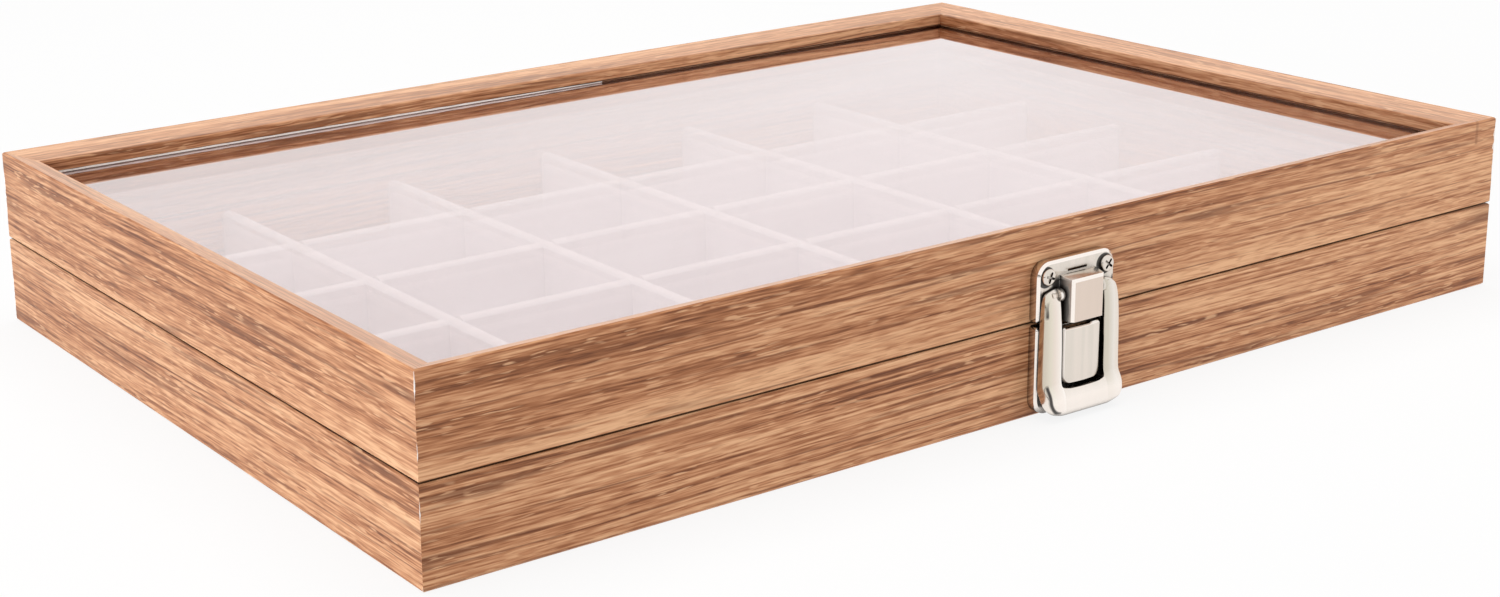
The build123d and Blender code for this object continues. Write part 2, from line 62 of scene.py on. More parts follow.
bl_info = {
    "name": "Specimen Box Finish",
    "version": (1, 0, 0),
    "blender": (4, 5, 0),
    "location": "View3D > Sidebar > Specimen Box",
    "description": "Finishes a glazed specimen box and lights it on a pale floor",
    "category": "Object",
}

MM = 0.001

# ---- The pieces of the box, by what they are made of ----
BOARDS = {
    "long": ["base_front_wall", "base_back_wall", "lid_front_rail", "lid_back_rail"],
    "short": ["base_left_wall", "base_right_wall", "lid_left_rail", "lid_right_rail"],
}
# name of each wrap, the axis that its grain follows, and how close its fine lines lie
WRAPS = [
    ("lid_long_wrap", 0, 0.25),
    ("lid_short_wrap", 1, 0.5),
    ("base_long_wrap", 0, 1.0),
    ("base_short_wrap", 1, 0.8),
]
DIVIDERS = sorted(name for name in NODES if "_divider_" in name)
LATCH = ["catch_plate", "keeper_plate", "hasp", "hasp_pin"]
SCREWS = sorted(name for name in NODES if name.endswith("_screws"))
HINGES = sorted(name for name in NODES if "_hinge_" in name and name not in SCREWS)


def corners(name):
    """The low and the high corner of a CAD node's box."""
    return [Vector(corner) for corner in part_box(name)]


# ---- Case: places that finishes and pieces refer to ----
HALF_LENGTH = (CAD_BOX[1][0] - CAD_BOX[0][0]) / 2
BOARD_FACE = corners("base_front_wall")[0].y  # front of the boards
HALF_DEPTH = -BOARD_FACE
SEAM_LOW = corners("base_front_wall")[1].z
SEAM_HIGH = corners("lid_front_rail")[0].z
RIM_TOP = corners("lid_front_rail")[1].z - 2.3 * MM  # inner edge of the rails' sloping tops
GLASS_TOP = corners("glass_pane")[1].z
GROOVE_TOP = GLASS_TOP + 0.6 * MM
DIVIDER_TOP = corners(DIVIDERS[0])[1].z

# ---- Latch: its place, and sizes of the pieces shaped here ----
# Across is measured from the latch's middle, depth is measured out of the boards.
HASP_LOW, HASP_HIGH = corners("hasp")
LATCH_MIDDLE = (HASP_LOW.x + HASP_HIGH.x) / 2
NEAR = 0.05 * MM  # how close to a plane a vert counts as lying in it
SAME = 0.01 * MM  # how close two places count as one

CAD_RIM = (1.25 * MM, 1.35 * MM)  # depths that hold the start of the CAD plates' eased edges
CAD_FRONT = (1.1 * MM, 2.05 * MM)  # depths that hold all that moves out with the plates' fronts
PLATE_RISE = 0.8 * MM  # how much deeper the pressed plates are than their CAD nodes
PLATE_FRONT = 2.8 * MM  # depth of their fronts
RIM_RISE = 0.15 * MM  # how much narrower their eased edges are, seen from the side
TAB_SPREAD = 0.3 * MM  # how much further the tab reaches at its sides and its foot
TAB_HALF = 6.0 * MM + TAB_SPREAD
TAB_HIGH = corners("keeper_plate")[1].z - 0.8 * MM
TAB_SIDE = 3.2 * MM  # across: what is further out belongs to the tab's sides
TAB_FOOT = 12 * MM  # height: what is lower belongs to the tab's foot

WINDOW_HALF = 7.2 * MM  # half the width of the hasp's window
WINDOW_RISE = 6.4  # millimetres from the hasp's foot to its window
WINDOW_LOW = HASP_LOW.z + WINDOW_RISE * MM
LEG_BACK = 3.0 * MM  # depths of the legs' backs and of their fronts
LEG_FRONT = 5.6 * MM
# rows of the hasp, in millimetres: height above its foot, depth of its front, depth of its back
HASP_ROWS = [
    (0.0, 7.1, 5.7),
    (1.0, 7.65, 5.3),
    (3.1, 7.7, 4.5),
    (5.2, 7.35, 3.5),
    (WINDOW_RISE, 6.85, 3.1),
    (7.6, 5.9, 3.0),
    (9.2, 5.6, 3.0),
]
HASP_CORNER = 4.6 * MM  # radius of the outline's corners
LEG_SETBACK = 1.8 * MM  # of the front of the legs' upper ends, which turn with the pin
LEG_SHOULDER = 3.2 * MM  # from the top of the legs to the cut that holds their round ends
EDGE_CUT = 1.9 * MM  # from the outer sides to the cuts that hold their round edges
WINDOW_CUT = 0.45 * MM  # from the window to the cuts that keep its edges crisp
BACK_CUT = 0.5 * MM  # from the legs' backs to the cut that keeps them flat
WINDOW_CREASE = 0.55  # from 0, soft, to 1, sharp

KNUCKLE_RADIUS = 1.7 * MM
KNUCKLE_START = 6.3 * MM  # across
KNUCKLE_LENGTH = 1.6 * MM
KNUCKLE_ROUNDING = 0.5 * MM

HEAD_RADIUS = 2.15 * MM
HEAD_RISE = 1.0 * MM
HEAD_DOME = 0.75 * MM  # width of the rounding that makes the dome
HEAD_TURNS = (20, 38)  # degrees that the left and the right recess are turned
BLADE = (2.9 * MM, 1.3 * MM, 0.62 * MM)  # one bar of the cross recess
BLADE_ROUNDING = 0.2 * MM

# ---- Seal: it starts at the back rail's left end ----
SEAL_START = 9.0 * MM  # from the rail's end
SEAL_END = 22.0 * MM  # along X
SEAL_LOW = 0.2 * MM  # heights above the glass, of its foot, its middle and its top
SEAL_MIDDLE = 0.3 * MM
SEAL_HIGH = 0.74 * MM
SEAL_PROUD = 0.15 * MM  # out of the rail's inner face
SEAL_DEEP = 1.0 * MM  # into the groove
SEAL_STEPS = 40  # along its length
SEAL_WAVE = 0.05 * MM  # rise and fall of its top
SEAL_DROP = 0.42 * MM  # fall of its top over the last steps
SEAL_TAPER = 14

# ---- Edges: width of the rounding, segments, and the angle in degrees that they exceed ----
PLATE_ROUNDING = (0.3 * MM, 3, 28)
HEAD_ROUNDING = (0.08 * MM, 2, 40)
SEAL_ROUNDING = (0.06 * MM, 2, 50)
SMOOTH_ANGLE = math.radians(40)
RIM_FACES = (0.25, 0.97)  # how far forward the faces look that take a rim's painted highlight

# ---- Camera, solved from the edges of the case ----
IMAGE_SIZE = (1500, 597)
FOCAL_LENGTH = 2383.54  # pixels
OPTICAL_CENTRE = (602.35, 197.06)  # pixels
SENSOR_WIDTH = 36.0  # millimetres
CAMERA_PLACE = Vector((-397.0, -514.35, 208.12)) * MM
# its turns in degrees: azimuth, elevation from straight down, and roll
CAMERA_TURNS = (("Z", -33.944), ("X", 74.788), ("Z", -1.191))


def linear(colour):
    """A colour written as it looks, turned into light, with an alpha of 1."""
    light = [c / 12.92 if c <= 0.04045 else ((c + 0.055) / 1.055) ** 2.4 for c in colour]
    return (*light, 1.0)


def colour_property(name, description, default):
    """A colour that a user may change, written as it looks."""
    kind = {"subtype": "COLOR_GAMMA", "size": 3, "min": 0.0, "max": 1.0}
    return FloatVectorProperty(name=name, description=description, default=default, **kind)


def length_property(name, description, millimetres):
    """A length that a user may change."""
    kind = {"subtype": "DISTANCE", "unit": "LENGTH", "min": 0.0}
    return FloatProperty(name=name, description=description, default=millimetres * MM, **kind)


def share_property(name, description, default):
    """A share from 0 to 1 that a user may change."""
    kind = {"subtype": "FACTOR", "min": 0.0, "max": 1.0}
    return FloatProperty(name=name, description=description, default=default, **kind)


# ---- Settings ----
class WrapSettings(PropertyGroup):
    """Printed wood-grain wrap on the boards."""

    dark: colour_property("Dark grain", "Darkest grain lines", (0.43, 0.24, 0.13))
    brown: colour_property("Brown grain", "Darker bands", (0.63, 0.40, 0.25))
    tan: colour_property("Tan grain", "Most of the wrap", (0.77, 0.54, 0.38))
    pale: colour_property("Pale grain", "Light bands and flecks", (0.91, 0.71, 0.54))
    # painted sheen: a paler colour laid on the tops of the lid's rails
    top_sheen: colour_property("Painted top sheen", "Wrap on the tops of the rails", (1.0, 0.86, 0.76))
    board: colour_property("Worn board", "Board bared where a corner is worn", (0.97, 0.94, 0.92))
    band_width: length_property("Band width", "Width of the broad bands", 7.0)
    streak_width: length_property("Streak width", "Width of the streaks", 1.5)
    fibre_width: length_property("Fibre width", "Width of the finest fibres", 0.42)
    sway: length_property("Sway", "How far the grain wanders", 1.0)
    wear: length_property("Corner wear", "Width of the worn corners", 0.6)


class FlockSettings(PropertyGroup):
    """White flock on the dividers and the floor lining."""

    colour: colour_property("Flock", "Colour of the flock", (0.96, 0.935, 0.945))
    shade: colour_property("Flock shade", "Colour where the nap lies flat", (0.925, 0.895, 0.905))
    # painted highlight on the dividers' upper edges
    edge: colour_property("Flock edges", "Colour of the dividers' upper edges", (1.0, 0.965, 0.965))
    nap: length_property("Nap", "Size of the tufts", 0.5)


class GlassSettings(PropertyGroup):
    """Glass of the lid."""

    tint: colour_property("Tint", "Light that passes through", (0.985, 0.985, 0.985))
    veil: colour_property("Veil", "Colour of what the glass mirrors", (1.0, 0.955, 0.955))
    shine: FloatProperty(
        name="Shine", description="Growth of the mirror at shallow angles", min=0.0, default=2.3
    )
    film: share_property("Film", "Share mirrored when seen straight on", 0.08)


class MetalSettings(PropertyGroup):
    """Polished nickel of the latch, the hinges and the screws."""

    colour: colour_property("Nickel", "Colour of the plating", (0.88, 0.845, 0.805))
    shade: colour_property("Nickel shade", "Duller streaks of the plating", (0.86, 0.83, 0.785))
    blush: colour_property("Nickel blush", "Warmer streaks of the plating", (0.90, 0.86, 0.82))
    # painted highlight: pale nickel for the plates' rounded edges and slanting faces, and painted
    # reflection on the hasp's bar
    worn: colour_property("Burnished nickel", "Painted highlight on the plating", (1.0, 0.965, 0.935))
    # painted reflection of the wood, warmer, on the bill's front
    bill: colour_property("Bill", "Painted reflection on the bill's front", (0.875, 0.80, 0.745))
    # painted shade in the latch's gaps and crevices
    gap: colour_property("Gap", "Painted shade in the gaps of the latch", (0.07, 0.04, 0.03))
    polish: share_property("Roughness", "How blurred the reflections are", 0.09)


class StageSettings(PropertyGroup):
    """Floor and light."""

    fill: share_property("Fill", "Strength of the light from all round", 0.42)
    floor_glow: share_property("Floor glow", "Share of the floor that is plain white", 0.86)
    bounce: share_property("Bounce", "Light that the floor throws back on the box", 0.55)


# ---- Shader maths ----
class Value:
    """A shader socket that takes part in sums."""

    def __init__(self, finish, socket):
        self.finish = finish
        self.socket = socket

    def maths(self, operation, *others):
        """Another socket worked out from this one."""
        sockets = dict(enumerate((self, *others)))
        return self.finish.node("ShaderNodeMath", sockets, operation=operation)

    def __add__(self, other):
        return self.maths("ADD", other)

    def __sub__(self, other):
        return self.maths("SUBTRACT", other)

    def __rsub__(self, other):
        return self * -1 + other

    def __mul__(self, other):
        return self.maths("MULTIPLY", other)

    def __pow__(self, other):
        return self.maths("POWER", other)

    def __abs__(self):
        return self.maths("ABSOLUTE")

    __radd__ = __add__
    __rmul__ = __mul__


class Finish:
    """A procedural material and the nodes that it is made of."""

    def __init__(self, name, material=None):
        self.material = material or bpy.data.materials.new(name)
        self.material.use_nodes = True
        self.tree = self.material.node_tree
        self.tree.nodes.clear()

    def node(self, kind, sockets, output=0, **settings):
        """An output of a new node, with the values or links of its sockets and its settings."""
        made = self.tree.nodes.new(kind)
        for key, value in settings.items():
            setattr(made, key, value)
        for key, value in sockets.items():
            if isinstance(value, Value):
                self.tree.links.new(value.socket, made.inputs[key])
            else:
                made.inputs[key].default_value = value
        return Value(self, made.outputs[output]) if len(made.outputs) else None

    def coordinates(self):
        """Object coordinates, in metres."""
        return self.node("ShaderNodeTexCoord", {}, "Object")

    def noise(self, vector, size, seed, detail=2.0):
        """Noise from 0 to 1, of a size in metres that may differ along X, Y and Z."""
        place, scale = (seed, 2 * seed, -seed), [1 / s for s in size]
        sockets = {"Vector": vector, "Location": place, "Scale": scale}
        moved = self.node("ShaderNodeMapping", sockets)
        return self.node("ShaderNodeTexNoise", {"Vector": moved, "Scale": 1.0, "Detail": detail})

    def axes(self, vector):
        """The three parts of a vector."""
        parts = self.node("ShaderNodeSeparateXYZ", {0: vector}).socket.node.outputs
        return [Value(self, part) for part in parts]

    def span(self, value, low, high):
        """How far a value is from low to high, from 0 to 1."""
        sockets = {0: value, 1: low, 2: high, 3: 0.0, 4: 1.0}
        return self.node("ShaderNodeMapRange", sockets, clamp=True)

    def between(self, value, low, high, soft):
        """1 between two places and 0 beyond them, with edges that are soft to both sides."""
        rise = self.span(value, low - soft, low + soft)
        return rise * (1 - self.span(value, high - soft, high + soft))

    def ramp(self, value, stops):
        """A value turned into a colour, by stops from 0 to 1 and their colours as they look."""
        made = self.node("ShaderNodeValToRGB", {0: value})
        elements = made.socket.node.color_ramp.elements
        while len(elements) < len(stops):
            elements.new(1.0)
        for element, (stop, colour) in zip(elements, stops):
            element.position, element.color = stop, linear(colour)
        return made

    def mix(self, share, first, second):
        """Two colours mixed by a share."""
        return self.node("ShaderNodeMix", {0: share, 6: first, 7: second}, 2, data_type="RGBA")

    def surface(self, shader):
        """Ends the material with a shader."""
        self.node("ShaderNodeOutputMaterial", {"Surface": shader})
        return self.material

    def coat(self, colour, roughness, bump, others=()):
        """Ends the material with the main shader; bump is a height, its strength and its depth."""
        normal = self.node("ShaderNodeBump", dict(zip(("Height", "Strength", "Distance"), bump)))
        sockets = {"Base Color": colour, "Roughness": roughness, "Normal": normal, **dict(others)}
        return self.surface(self.node("ShaderNodeBsdfPrincipled", sockets))


def put_on(material, *names):
    """Gives CAD nodes a finish."""
    for name in names:
        for slot in NODES[name].material_slots:
            slot.material = material


# ---- Wood-grain wrap ----
WRAP_EDGE = 0.4 * MM  # bevel along the boards' edges
SWAY_SCALE = 7.0  # of the noise that bends the grain
MEAN_TONE = 0.56  # on the ramp from dark to pale
# distances in from the case's sides, where a mark begins and where it is full
INNER_SIDE = (4 * MM, 5 * MM)
RAIL_TOP = (0.5 * MM, 0.9 * MM)
# along X, both sides of the right rail's inner face
RIGHT_SIDE = (HALF_LENGTH - 8.8 * MM, HALF_LENGTH - 7.7 * MM)


def wrap_grain(finish, place, along, seed, closeness, settings):
    """The wrap's colour and height, from layers of noise stretched along a board."""

    def grain(length, width, offset, detail=2.0, vector=place):
        size = [width] * 3
        size[along] = length
        return finish.noise(vector, size, seed + offset, detail)

    def vector_maths(operation, sockets):
        return finish.node("ShaderNodeVectorMath", sockets, operation=operation)

    sockets = {"Vector": place, "Scale": SWAY_SCALE, "Detail": 0.0}
    wander = finish.node("ShaderNodeTexNoise", sockets, "Color")
    centred = vector_maths("SUBTRACT", {0: wander, 1: (0.5, 0.5, 0.5)})
    bend = vector_maths("SCALE", {0: centred, "Scale": settings.sway * 4})
    swayed = vector_maths("ADD", {0: place, 1: bend})

    # bands, streaks, threads and fibres: length, width, offset, weight, and what closeness adds
    layers = [
        (400 * MM, settings.band_width, 3.1, 1.0, -0.4),
        (200 * MM, settings.streak_width, 7.7, 0.85, 0.0),
        (110 * MM, settings.streak_width / 2.4, 6.1, 0.55, 0.75),
        (8 * MM, settings.fibre_width, 1.9, 0.95, 0.0),
    ]
    grains = [grain(length, width, offset, 1.0, swayed) for length, width, offset, *_ in layers]
    tone = MEAN_TONE
    for layer, (*_, weight, more) in zip(grains, layers):
        tone = tone + (layer - 0.5) * (weight + more * closeness)
    _, streaks, _, fibres = grains

    # thin dark lines, where slow noise crosses its middle, broken up along their length
    contour = grain(210 * MM, 3.2 * MM, 5.3, 0.0, swayed)
    line = 1 - finish.span(abs(contour - 0.5), 0.012, 0.05)
    lines = line * finish.span(grain(45 * MM, 3.5 * MM, 9.4), 0.40, 0.56)

    # short pale and dark dashes
    dashes = grain(5.0 * MM, 0.5 * MM, 4.2, 0.0, swayed)
    clusters = finish.span(grain(22 * MM, 3 * MM, 2.6), 0.44, 0.6)
    pale_dashes = finish.span(dashes, 0.60, 0.72) * clusters
    dark_dashes = finish.span(1 - dashes, 0.62, 0.74)

    tones = (settings.dark, settings.brown, settings.tan, settings.pale)
    colour = finish.ramp(tone, list(zip((0.08, 0.34, 0.56, 0.95), tones)))
    colour = finish.mix(lines * 0.7, colour, linear(settings.dark))
    colour = finish.mix(dark_dashes * 0.4, colour, linear(settings.brown))
    colour = finish.mix(pale_dashes * 0.7, colour, linear(settings.pale))
    return colour, fibres, fibres * 0.5 + streaks * 0.5 - lines * 0.6


def wrap_marks(finish, colour, across, deep, up, settings):
    """The wrap's painted shade in the seam and the groove, its painted sheen on the tops of the
    lid's rails, and painted shade on the right rail's inner face.
    """

    def inset(margin):
        ends = finish.span(HALF_LENGTH - abs(across), *margin)
        return ends * finish.span(HALF_DEPTH - abs(deep), *margin)

    # the lid's lower bevel and the open part of the glass's groove lie in the shade
    in_seam = finish.span(up, SEAM_LOW - 0.05 * MM, SEAM_LOW + 0.05 * MM) * (
        1 - finish.span(up, SEAM_HIGH + 0.6 * WRAP_EDGE, SEAM_HIGH + WRAP_EDGE)
    )
    in_groove = inset(INNER_SIDE) * (
        finish.span(up, GLASS_TOP - 0.02 * MM, GLASS_TOP + 0.02 * MM)
        * (1 - finish.span(up, GROOVE_TOP + 0.2 * MM, GROOVE_TOP + 0.35 * MM))
    )
    shade = [c * 0.35 for c in settings.dark]
    colour = finish.mix((in_seam + in_groove) * 0.85, colour, linear(shade))

    # painted sheen on the tops of the rails
    on_top = inset(RAIL_TOP) * finish.span(up, RIM_TOP - 0.3 * MM, RIM_TOP + 0.2 * MM)
    colour = finish.mix(on_top * 0.3, colour, linear(settings.top_sheen))
    # painted shade on the inner face of the right rail, above the glass
    deep_side = finish.between(across, *RIGHT_SIDE, 0.2 * MM)
    deep_side = deep_side * finish.span(up, GLASS_TOP, GLASS_TOP + 0.1 * MM) * (1 - on_top)
    return finish.mix(deep_side * 0.35, colour, linear(settings.dark))


def wrap_finish(name, along, seed, closeness, settings):
    """Printed wood grain that runs along X (0) or Y (1), worn at the case's upright corners.

    closeness, from 0 to 1, is how many fine lines there are between the broad bands.
    """
    finish = Finish(name)
    place = finish.coordinates()
    colour, fibres, height = wrap_grain(finish, place, along, seed, closeness, settings)
    across, deep, up = finish.axes(place)
    colour = wrap_marks(finish, colour, across, deep, up, settings)

    # worn corners: distance to the nearest upright corner of the case
    off_x = (abs(across) - HALF_LENGTH) ** 2
    off_y = (abs(deep) - HALF_DEPTH) ** 2
    distance = (off_x + off_y) ** 0.5
    chips = finish.noise(place, [0.9 * MM, 0.9 * MM, 1.6 * MM], seed + 6.6, 3.0)
    patch = finish.span(finish.noise(place, [60 * MM, 60 * MM, 14 * MM], 3.4, 1.0), 0.40, 0.56)
    reach = (chips * 2.6 - 0.62) * patch * settings.wear
    worn = finish.span(reach - distance, 0.0, 0.12 * MM)
    colour = finish.mix(worn, colour, linear(settings.board))

    roughness = 0.34 + fibres * 0.14 + worn * 0.3
    return finish.coat(colour, roughness, (height, 0.2, 0.03 * MM), {"Specular IOR Level": 0.3})


# ---- White flock ----
def flock_finish(settings):
    """Short white nap with softly shaded patches, and a painted highlight that makes the dividers'
    upper edges paler.
    """
    finish = Finish("white_flock")
    place = finish.coordinates()
    nap = finish.noise(place, [settings.nap] * 3, 1.5, 3.0)
    patches = finish.noise(place, [9 * MM] * 3, 4.1, 2.0)
    lying = finish.span(nap * 0.55 + patches * 0.45, 0.35, 0.62)
    colour = finish.mix(lying, linear(settings.shade), linear(settings.colour))
    _, _, up = finish.axes(place)
    # painted highlight: the dividers' upper edges are paler
    edge_highlight = finish.span(up, DIVIDER_TOP - 0.7 * MM, DIVIDER_TOP - 0.2 * MM)
    colour = finish.mix(edge_highlight, colour, linear(settings.edge))
    pile = {"Specular IOR Level": 0.2, "Sheen Weight": 0.25}
    return finish.coat(colour, 0.88 + nap * 0.12, (nap, 0.5, 0.12 * MM), pile)


# ---- Glass ----
def glass_finish(settings):
    """Clear sheet glass that mirrors its surroundings at a shallow angle, with a faint film."""
    finish = Finish("clear_glass")
    place = finish.coordinates()
    facing = finish.node("ShaderNodeLayerWeight", {"Blend": 0.5}, "Facing")
    smears = finish.noise(place, [55 * MM, 18 * MM, 55 * MM], 2.2, 3.0)
    share = facing**5 * settings.shine + settings.film * (0.5 + smears)
    clear = finish.node("ShaderNodeBsdfTransparent", {"Color": linear(settings.tint)})
    roughness = finish.span(smears, 0.3, 0.9) * 0.03
    sockets = {"Base Color": linear(settings.veil), "Metallic": 1.0, "Roughness": roughness}
    mirror = finish.node("ShaderNodeBsdfPrincipled", sockets)
    return finish.surface(finish.node("ShaderNodeMixShader", {0: share, 1: clear, 2: mirror}))


# ---- Nickel ----
GAP_HALF = WINDOW_HALF + 0.1 * MM  # across
GAP_HIGH = HASP_HIGH.z - 1.0 * MM  # height
# what the hasp's legs mirror, by millimetres across from the left of the latch to its right
LEG_SIDE = 13.0
LEG_TONES = [
    (-13.0, (0.80, 0.76, 0.69)),
    (-11.0, (0.88, 0.85, 0.78)),
    (-9.4, (0.93, 0.875, 0.83)),
    (-7.9, (0.97, 0.935, 0.90)),
    (-7.2, (1.0, 0.985, 0.97)),
    (7.2, (0.80, 0.77, 0.71)),
    (8.6, (0.83, 0.80, 0.74)),
    (10.6, (0.92, 0.895, 0.865)),
    (12.6, (0.92, 0.865, 0.81)),
]
# where painted shade and reflections on the plating begin, and where they are full
BILL_FRONT = (6.2 * MM, 6.7 * MM)  # depth
BILL_FOOT = (15 * MM, 18 * MM)  # height
BAR_TOP = (5.5 * MM, 9.5 * MM)  # height
LEG_DEPTH = (3.6 * MM, 4.2 * MM)
GAP_DEPTH = (3.2 * MM, 4.4 * MM)
TAB_DEPTH = (3.0 * MM, 3.6 * MM)
MARGIN = (11.6 * MM, 12.0 * MM)  # across, of the painted shadow lines beside the plates
CORNER_DEPTH = (4.6 * MM, 5.2 * MM)
# painted shade beside the bill: across, height, depths where it fades, depths where it ends
BILL_SHADE_ACROSS = (-8.4 * MM, -5.1 * MM)
BILL_SHADE_HEIGHT = (GAP_HIGH - 8 * MM, GAP_HIGH + 3.2 * MM)
BILL_SHADE_FADE = (3.6 * MM, 7.2 * MM)
BILL_SHADE_END = (6.5 * MM, 6.9 * MM)
# painted shadow at the left of each screw: radii where it is full and where it ends
CRESCENT_RADIUS = (2.6 * MM, 2.8 * MM)
CRESCENT_SHIFT = 0.65 * MM  # to the left of the screw


def metal_finish(name, settings, brushed, worn=0.0, gaps=False):
    """Polished nickel; brushed is how far its fine upright polish lines show.

    worn, from 0 to 1, is how far the colour goes over to a pale painted highlight. With gaps,
    the narrow spaces round the latch's bill and tab get painted shade, its bill a warmer painted
    reflection and its bar a paler one. Crevices of every piece get painted shade.
    """
    finish = Finish(name)
    place = finish.coordinates()
    cloud = finish.noise(place, [9 * MM] * 3, 3.3, 1.0)
    sheen = finish.noise(place, [2.2 * MM, 2.2 * MM, 90 * MM], 4.4, 1.0)
    lines = finish.noise(place, [0.12 * MM, 0.12 * MM, 6 * MM], 8.1, 2.0)
    specks = finish.span(finish.noise(place, [0.5 * MM] * 3, 5.9, 2.0), 0.68, 0.80)
    stops = [(0.30, settings.shade), (0.48, settings.colour), (0.62, settings.blush)]
    colour = finish.ramp(sheen * 0.8 + cloud * 0.2, stops)
    colour = finish.mix(specks * 0.25, colour, linear(settings.shade))
    # painted highlight: with worn, the colour goes over to the pale tone
    colour = finish.mix(worn, colour, linear(settings.worn))
    metallic = 1.0
    if gaps:
        right, back, up = finish.axes(place)
        right, depth = right - LATCH_MIDDLE, BOARD_FACE - back
        colour = latch_tones(finish, colour, right, depth, up, settings)
        # painted shade and dark reflections in and beside the latch's gaps, which also dull the
        # metal
        dark = latch_gaps(finish, right, depth, up)
        colour = finish.mix(dark * 0.95, colour, linear(settings.gap))
        metallic = 1 - dark * 0.9
    # painted shade: the colour goes dark where ambient occlusion finds other surfaces close
    open_space = finish.node("ShaderNodeAmbientOcclusion", {"Distance": 4 * MM}, "AO", samples=8)
    occlusion_shade = 1 - finish.span(open_space, 0.30, 0.80)
    colour = finish.mix(occlusion_shade * 0.9, colour, linear(settings.gap))
    roughness = settings.polish + cloud * 0.04 + lines * brushed * 0.12 + specks * 0.1
    height = lines * brushed + cloud * 0.4
    return finish.coat(colour, roughness, (height, 0.1, 0.02 * MM), {"Metallic": metallic})


def on_legs(finish, right, depth):
    """1 on the legs of the hasp."""
    beyond = finish.span(abs(right), WINDOW_HALF - 0.1 * MM, WINDOW_HALF)
    return beyond * finish.span(depth, *LEG_DEPTH)


def latch_tones(finish, colour, right, depth, up, settings):
    """Painted reflections on the plating: what the legs, the bill and the bar of the latch mirror.
    """
    sheen = finish.ramp(
        finish.span(right, -LEG_SIDE * MM, LEG_SIDE * MM),
        [((place + LEG_SIDE) / (2 * LEG_SIDE), tone) for place, tone in LEG_TONES],
    )
    on_bill = finish.span(depth, *BILL_FRONT) * finish.span(up, *BILL_FOOT)
    on_bar = 1 - finish.span(up, *BAR_TOP)
    colour = finish.mix(on_legs(finish, right, depth) * 0.85, colour, sheen)
    colour = finish.mix(on_bill * 0.8, colour, linear(settings.bill))
    return finish.mix(on_bar * 0.8, colour, linear(settings.worn))


def latch_gaps(finish, right, depth, up):
    """1 where shade and dark reflections are painted on the latch, 0 elsewhere."""
    across = abs(right)

    # painted shade in the gaps of the window, but not on the sides of the tab
    gap = (1 - finish.span(across, GAP_HALF - 0.1 * MM, GAP_HALF + 0.1 * MM)) * (
        finish.between(up, WINDOW_LOW, GAP_HIGH, 0.2 * MM) * (1 - finish.span(depth, *GAP_DEPTH))
    )
    tab_side = finish.between(across, TAB_HALF - 0.5 * MM, TAB_HALF + 0.1 * MM, 0.03 * MM) * (
        finish.between(up, WINDOW_LOW + 1.6 * MM, TAB_HIGH - 0.4 * MM, 0.3 * MM)
    )
    gap = gap * (1 - tab_side * finish.span(depth, *TAB_DEPTH))

    # painted shadow on the lines between the plates' edges and the legs
    beside = finish.span(across, *MARGIN) * (
        finish.between(depth, PLATE_FRONT - 0.3 * MM, PLATE_FRONT + 0.65 * MM, 0.05 * MM)
    )
    beside = beside * (1 - finish.span(up, GAP_HIGH, GAP_HIGH + 1 * MM))

    # painted shade on the bill's left side and on the plate next to it
    bill_shade = finish.between(right, *BILL_SHADE_ACROSS, 0.3 * MM)
    bill_shade = bill_shade * finish.between(up, *BILL_SHADE_HEIGHT, 0.4 * MM)
    bill_shade = bill_shade * (1 - finish.span(depth, *BILL_SHADE_FADE) * 0.75)
    bill_shade = bill_shade * (1 - finish.span(depth, *BILL_SHADE_END)) * (1 - on_legs(finish, right, depth))

    # a painted shadow, shaped as a crescent, at the left of each screw
    low, high = corners("catch_screws")
    radius = (high.z - low.z) / 2
    half_spread = (high.x - low.x) / 2 - radius
    crescents = 0.0
    for middle in (-half_spread, half_spread):
        sideways = right - (middle - CRESCENT_SHIFT)
        off = (sideways**2 + (up - (low.z + high.z) / 2) ** 2) ** 0.5
        crescents = crescents + (1 - finish.span(off, *CRESCENT_RADIUS))
    on_plate = finish.between(depth, PLATE_FRONT - 0.1 * MM, PLATE_FRONT + 0.2 * MM, 0.05 * MM)

    # painted dark reflections in lines round the left corners of the hasp: level of the corner,
    # side, and reach
    marks = 0.0
    turn = HASP_CORNER - (HASP_HIGH.x - LATCH_MIDDLE)
    for level, side, reach in (
        (HASP_LOW.z + HASP_CORNER, -1, 3.2 * MM),
        (HASP_HIGH.z - HASP_CORNER, 1, 1.6 * MM),
    ):
        beyond = ((up - level) * side).maths("MAXIMUM", 0.0)
        off = ((right - turn) ** 2 + beyond**2) ** 0.5
        line = 1 - finish.span(abs(off - (HASP_CORNER - 1.0 * MM)), 0.25 * MM, 0.65 * MM)
        near = 1 - finish.span(abs(up - level), reach, reach + 0.8 * MM)
        marks = marks + line * near * finish.span(right * -1, -turn, 0.6 * MM - turn)
    marks = marks * finish.span(depth, *CORNER_DEPTH)

    return (gap + beside + bill_shade + crescents * on_plate + marks).maths("MINIMUM", 1.0)


# ---- White seal ----
SEAL_TONES = ((0.90, 0.86, 0.83), (1.0, 0.99, 0.98))


def seal_finish():
    """Dull white rubber."""
    finish = Finish("white_seal")
    smears = finish.noise(finish.coordinates(), [6 * MM, 1 * MM, 1 * MM], 2.7, 2.0)
    colour = finish.mix(smears, *(linear(tone) for tone in SEAL_TONES))
    return finish.coat(colour, 0.5 + smears * 0.3, (smears, 0.3, 0.05 * MM))


# ---- Backing board ----
BOARD_TONES = ((0.3, (0.50, 0.37, 0.26)), (0.7, (0.72, 0.58, 0.43)))


